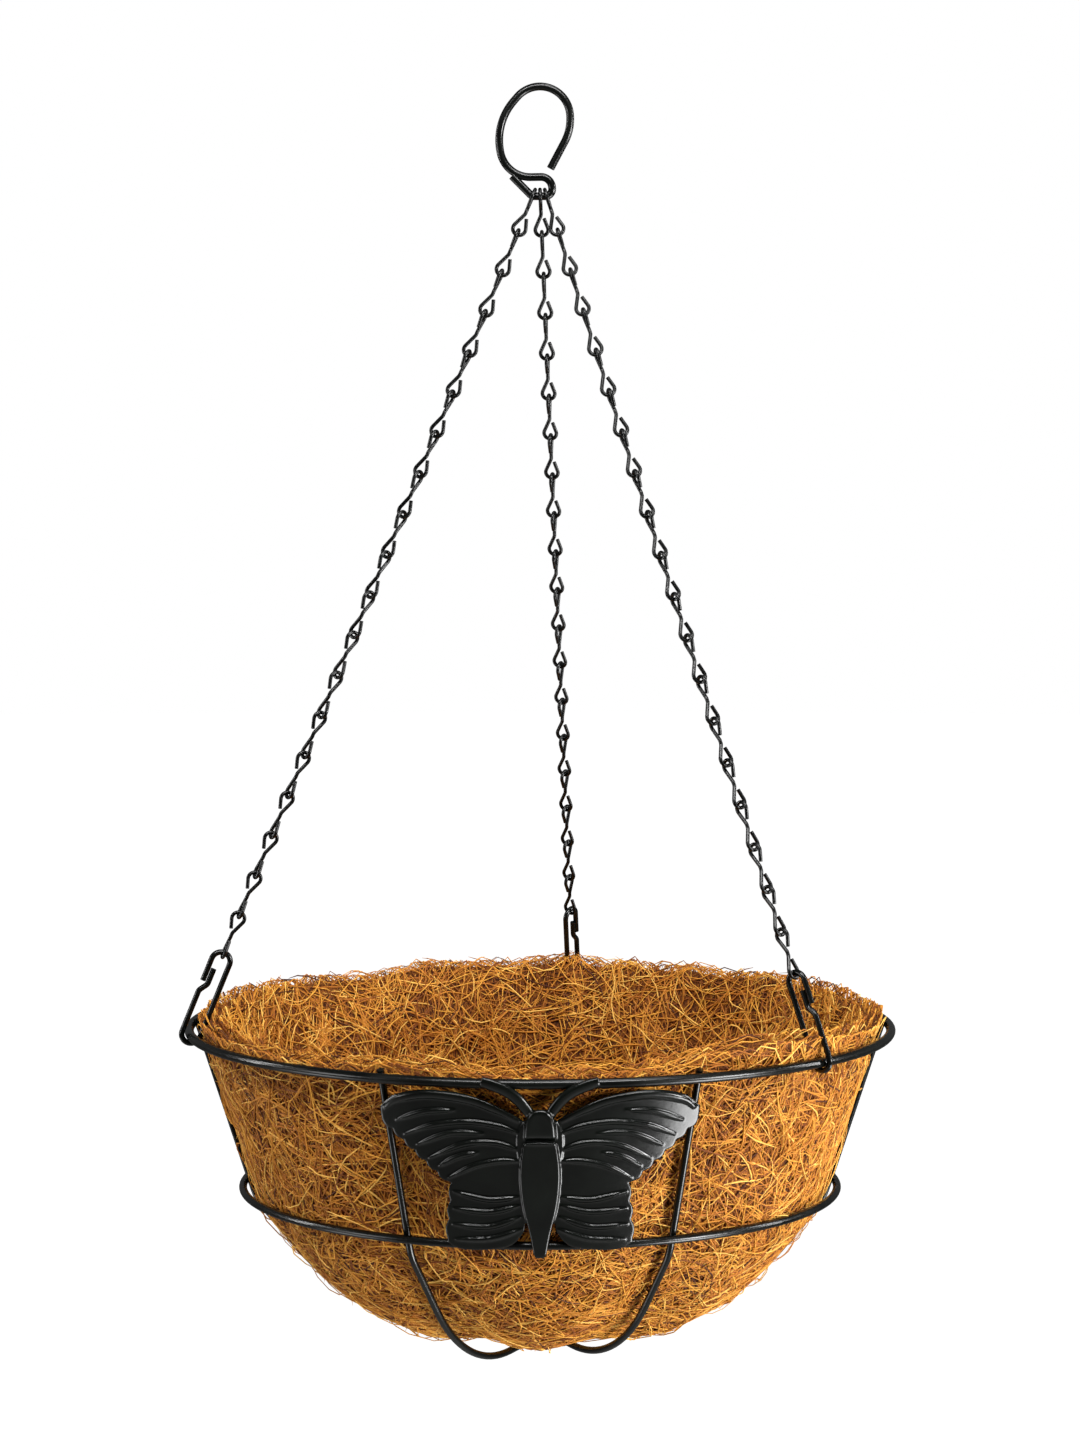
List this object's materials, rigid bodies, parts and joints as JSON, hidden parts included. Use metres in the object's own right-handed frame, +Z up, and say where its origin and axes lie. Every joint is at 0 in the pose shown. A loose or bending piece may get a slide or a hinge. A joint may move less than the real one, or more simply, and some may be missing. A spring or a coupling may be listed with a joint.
{
  "type": "hanging basket",
  "caption": "Round wire hanging basket with a coir liner, a butterfly plate in front, chains with snap clips and a hook.",
  "frame": {"origin": "underside of the top of the hook's upper loop, where the hook rests on its support", "axes": "+Z up, -Y towards the butterfly plate, +X to the right seen from the front"},
  "size_m": [0.3041, 0.3068, 0.5357],
  "materials": {
    "black_wire": "semi-gloss black powder coat",
    "chain_wire": "semi-gloss black paint",
    "clip_wire": "glossy black paint",
    "butterfly_paint": "semi-gloss black-green paint on pressed relief",
    "coir": "rough golden-brown coconut fibre felt"
  },
  "bodies": {
    "hook": {"hook": "black_wire"},
    "basket": {"rim_ring": "black_wire", "mid_ring": "black_wire", "hoop_front_left": "black_wire", "hoop_front_right": "black_wire", "hoop_side": "black_wire", "butterfly": "butterfly_paint", "coir_liner": "coir", "clip_left": "clip_wire", "clip_back": "clip_wire", "clip_right": "clip_wire", "left_link_1": "chain_wire", "left_links_2_4": "chain_wire", "left_links_14_16": "chain_wire", "left_links_17_19": "chain_wire", "back_link_1": "chain_wire", "back_links_2_4": "chain_wire", "back_links_14_16": "chain_wire", "back_links_17_19": "chain_wire", "right_link_1": "chain_wire", "right_links_2_4": "chain_wire", "right_links_14_16": "chain_wire", "right_links_17_19": "chain_wire"},
    "left_chain_middle": {"left_links_5_7": "chain_wire", "left_links_8_10": "chain_wire", "left_links_11_13": "chain_wire"},
    "back_chain_middle": {"back_links_5_7": "chain_wire", "back_links_8_10": "chain_wire", "back_links_11_13": "chain_wire"},
    "right_chain_middle": {"right_links_5_7": "chain_wire", "right_links_8_10": "chain_wire", "right_links_11_13": "chain_wire"}
  },
  "joints": [
    {"name": "basket_swing", "type": "hinge", "parent": "hook", "child": "basket", "pos_m": [0, 0, -0.04388], "axis": [1, 0, 0], "range_deg": [-25, 25]},
    {"name": "left_chain_twist", "type": "hinge", "parent": "basket", "child": "left_chain_middle", "pos_m": [-0.002, 0.0001, -0.04113], "axis": [-0.3787, -0.0337, -0.9249], "range_deg": [-20, 20]},
    {"name": "back_chain_twist", "type": "hinge", "parent": "basket", "child": "back_chain_middle", "pos_m": [0, -0.00117, -0.04139], "axis": [0.04, 0.424, -0.9048], "range_deg": [-20, 20]},
    {"name": "right_chain_twist", "type": "hinge", "parent": "basket", "child": "right_chain_middle", "pos_m": [0.002, 0.00063, -0.0412], "axis": [0.292, -0.2185, -0.9311], "range_deg": [-20, 20]}
  ]
}
